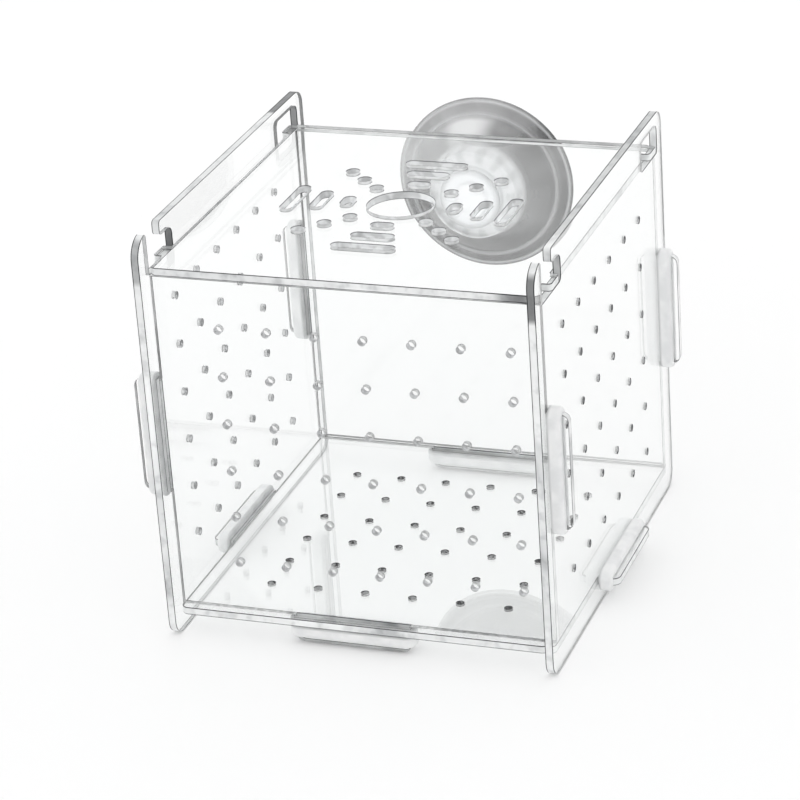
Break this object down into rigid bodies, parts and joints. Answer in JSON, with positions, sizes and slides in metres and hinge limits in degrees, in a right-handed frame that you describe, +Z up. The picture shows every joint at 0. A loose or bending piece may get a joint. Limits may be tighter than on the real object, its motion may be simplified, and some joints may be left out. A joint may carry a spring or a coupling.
{
  "type": "fish breeding box",
  "caption": "Clear square box with perforated walls, a sliding vented lid with a feeding hole, and a suction cup at the back, for keeping fry apart in a tank.",
  "frame": {"origin": "under the middle of the whole object, on the plane that it stands on", "axes": "+Z up, +Y towards the suction cup and the tank's glass, +X to the right seen from the front"},
  "size_m": [0.11, 0.117, 0.106],
  "materials": {
    "clear_sheet": "clear polished acrylic with cut edges",
    "clear_lid": "clear polished acrylic with cut edges",
    "frosted_sleeve": "frosted soft plastic",
    "soft_cup": "smooth translucent soft plastic"
  },
  "bodies": {
    "box": {"left_panel": "clear_sheet", "right_panel": "clear_sheet", "front_panel": "clear_sheet", "back_panel": "clear_sheet", "bottom_panel": "clear_sheet", "clip_front_left": "frosted_sleeve", "clip_front_right": "frosted_sleeve", "clip_back_left": "frosted_sleeve", "clip_back_right": "frosted_sleeve", "clip_bottom_left": "frosted_sleeve", "clip_bottom_right": "frosted_sleeve", "clip_bottom_front": "frosted_sleeve", "clip_bottom_back": "frosted_sleeve"},
    "lid": {"lid": "clear_lid"},
    "cup": {"suction_cup": "soft_cup"}
  },
  "joints": [
    {"name": "lid_slide", "type": "slide", "parent": "box", "child": "lid", "axis": [0, -1, 0], "range_m": [0, 0.007]},
    {"name": "cup_swivel", "type": "hinge", "parent": "box", "child": "cup", "pos_m": [0, 0.0455, 0.0795], "axis": [0, 1, 0], "continuous": true}
  ]
}
